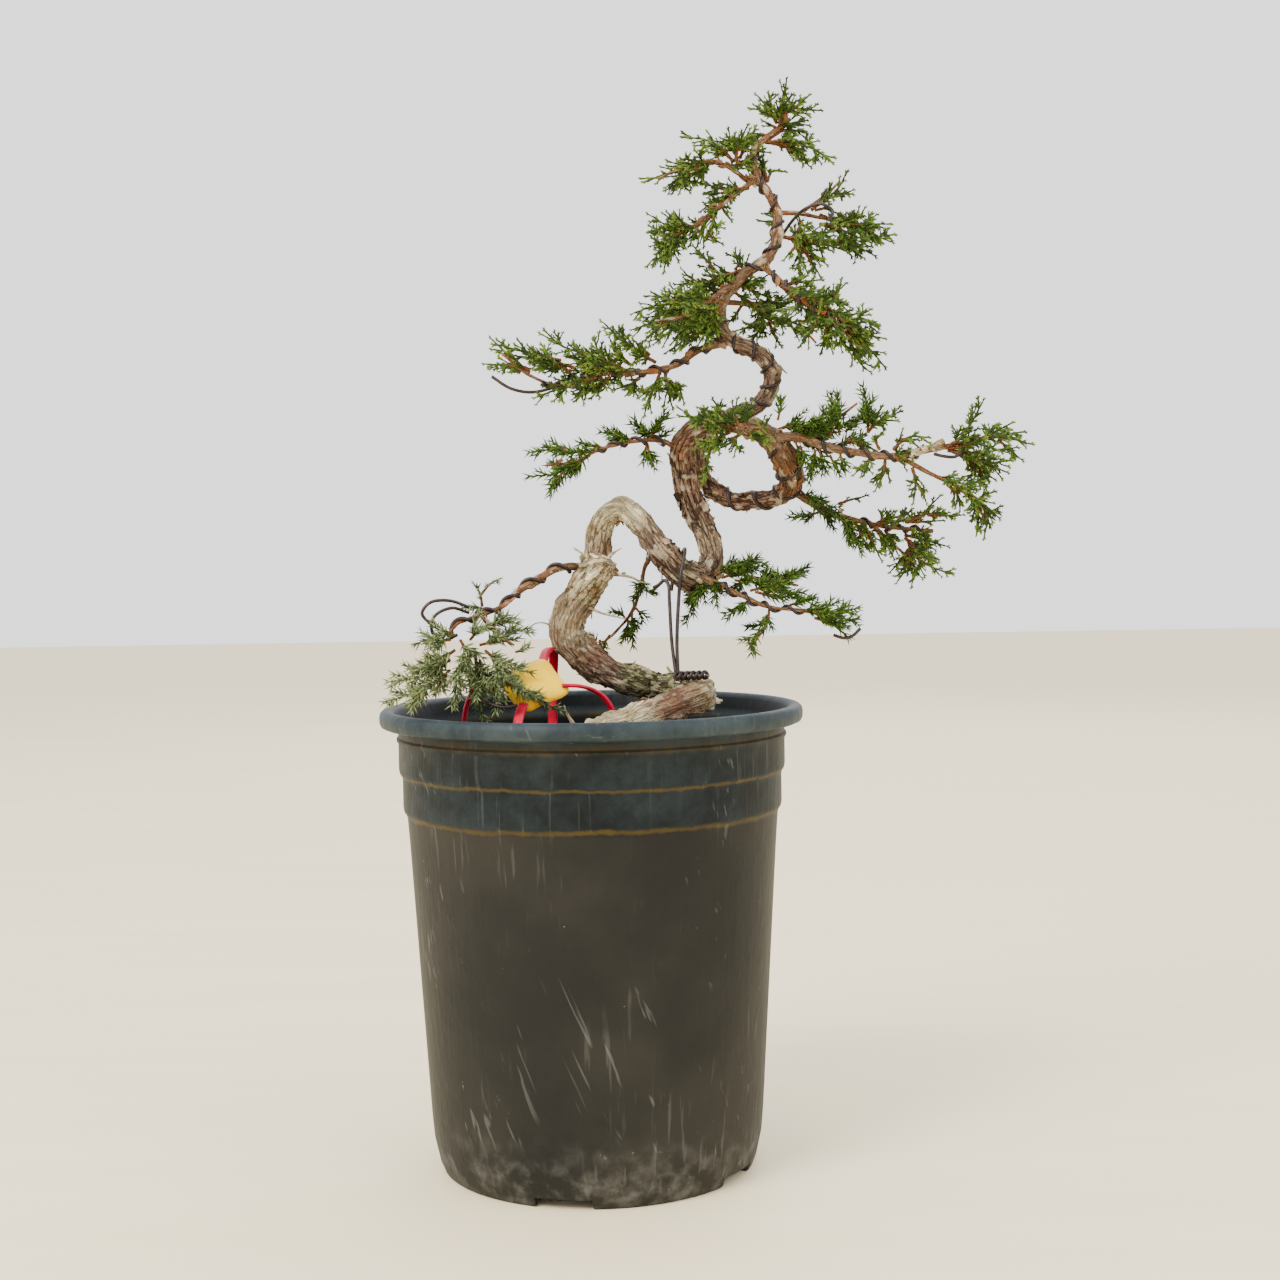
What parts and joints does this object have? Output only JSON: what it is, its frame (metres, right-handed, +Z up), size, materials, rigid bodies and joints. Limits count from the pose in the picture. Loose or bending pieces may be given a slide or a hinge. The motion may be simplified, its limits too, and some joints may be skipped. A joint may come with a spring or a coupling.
{
  "type": "potted bonsai tree",
  "caption": "Small wired juniper with a bent, looping trunk and flat foliage pads, planted in a tall round tapered nursery pot with a rolled rim.",
  "frame": {"origin": "centre of the pot's base, on the surface it stands on", "axes": "+Z up along the pot's axis, -Y the front of the tree, +X towards its longest branch"},
  "size_m": [0.2535, 0.165, 0.419],
  "materials": {
    "pot_plastic": "weathered black nursery plastic, dusty and scuffed",
    "soil": "dark moist potting mix with bark and grit",
    "bark": "flaking juniper bark, tan and red-brown",
    "foliage": "scale-leaf juniper foliage, fresh green",
    "foliage_grey": "needle foliage, grey-green with brown tips",
    "wire": "dark brown anodised training wire",
    "marker_yellow": "bright yellow moulded plastic",
    "marker_red": "crimson plastic strap"
  },
  "bodies": {
    "root": {"nursery_pot": "pot_plastic", "potting_soil": "soil", "juniper_wood": "bark", "foliage_apex": "foliage", "foliage_top_left": "foliage", "foliage_hanging_left": "foliage", "foliage_upper_right": "foliage", "foliage_dense_left": "foliage", "foliage_dense_back": "foliage", "foliage_mid_right": "foliage", "foliage_mid_right_back": "foliage", "foliage_long_left": "foliage", "foliage_mid_left": "foliage", "foliage_ring_top": "foliage", "foliage_right": "foliage", "foliage_right_tip": "foliage", "foliage_right_low": "foliage", "foliage_bottom_right": "foliage", "foliage_bottom_back": "foliage", "foliage_inner": "foliage", "foliage_bottom_left": "foliage_grey", "wire_bottom_left": "wire", "wire_long_left": "wire", "wire_ring": "wire", "wire_upper_trunk": "wire", "wire_crown_trunk": "wire", "wire_right": "wire", "wire_right_low": "wire", "wire_bottom_right": "wire", "wire_mid_left": "wire", "wire_mid_right": "wire", "guy_wire": "wire", "marker_cap": "marker_yellow", "marker_strap_right": "marker_red", "marker_strap_back": "marker_red", "marker_strap_left": "marker_red", "marker_strap_front": "marker_red"}
  },
  "joints": []
}
